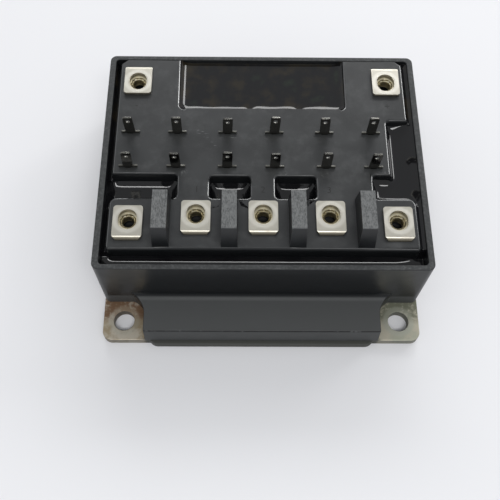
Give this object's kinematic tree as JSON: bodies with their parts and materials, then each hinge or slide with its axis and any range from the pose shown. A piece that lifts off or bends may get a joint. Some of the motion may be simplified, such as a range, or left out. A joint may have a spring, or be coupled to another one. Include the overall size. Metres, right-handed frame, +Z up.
{
  "type": "igbt module",
  "caption": "Three-phase power semiconductor module: potted plastic case on a metal base plate, with screw terminals between barrier ribs and push-on signal tabs.",
  "frame": {"origin": "centre of the base plate's mounting face", "axes": "+X along the row of front terminals, +Y towards the two rear terminals, +Z up out of the lid"},
  "size_m": [0.092, 0.0964, 0.0355],
  "materials": {
    "case_plastic": "charcoal glass-filled plastic, satin matt",
    "resin": "glossy black potting resin",
    "gel": "clear silicone gel, sealed inside",
    "plate_metal": "dull plated plate with brown and olive tarnish",
    "terminal_metal": "pale nickel plate, satin",
    "tab_metal": "tin-plated brass, satin",
    "nut_steel": "yellow-passivated steel",
    "ceramic": "white alumina ceramic, opaque",
    "copper": "bare copper",
    "silicon": "metallised silicon, opaque",
    "wire_metal": "soft aluminium wire"
  },
  "bodies": {
    "root": {"base_plate": "plate_metal", "case_frame": "case_plastic", "terminal_lid": "case_plastic", "potting_resin": "resin", "silicone_gel": "gel", "terminal_nuts": "nut_steel", "front_terminal_1": "terminal_metal", "front_terminal_2": "terminal_metal", "front_terminal_3": "terminal_metal", "front_terminal_4": "terminal_metal", "front_terminal_5": "terminal_metal", "rear_terminal_left": "terminal_metal", "rear_terminal_right": "terminal_metal", "upper_gate_tab_1": "tab_metal", "upper_sense_tab_1": "tab_metal", "upper_gate_tab_2": "tab_metal", "upper_sense_tab_2": "tab_metal", "upper_gate_tab_3": "tab_metal", "upper_sense_tab_3": "tab_metal", "lower_gate_tab_1": "tab_metal", "lower_sense_tab_1": "tab_metal", "lower_gate_tab_2": "tab_metal", "lower_sense_tab_2": "tab_metal", "lower_gate_tab_3": "tab_metal", "lower_sense_tab_3": "tab_metal", "ceramic_tile_1": "ceramic", "ceramic_tile_2": "ceramic", "ceramic_tile_3": "ceramic", "copper_tracks_1": "copper", "copper_tracks_2": "copper", "copper_tracks_3": "copper", "upper_switch_die_1": "silicon", "upper_switch_die_2": "silicon", "upper_switch_die_3": "silicon", "lower_switch_die_1": "silicon", "lower_switch_die_2": "silicon", "lower_switch_die_3": "silicon", "upper_diode_die_1": "silicon", "upper_diode_die_2": "silicon", "upper_diode_die_3": "silicon", "lower_diode_die_1": "silicon", "lower_diode_die_2": "silicon", "lower_diode_die_3": "silicon", "bond_wires_1": "wire_metal", "bond_wires_2": "wire_metal", "bond_wires_3": "wire_metal"}
  },
  "joints": []
}
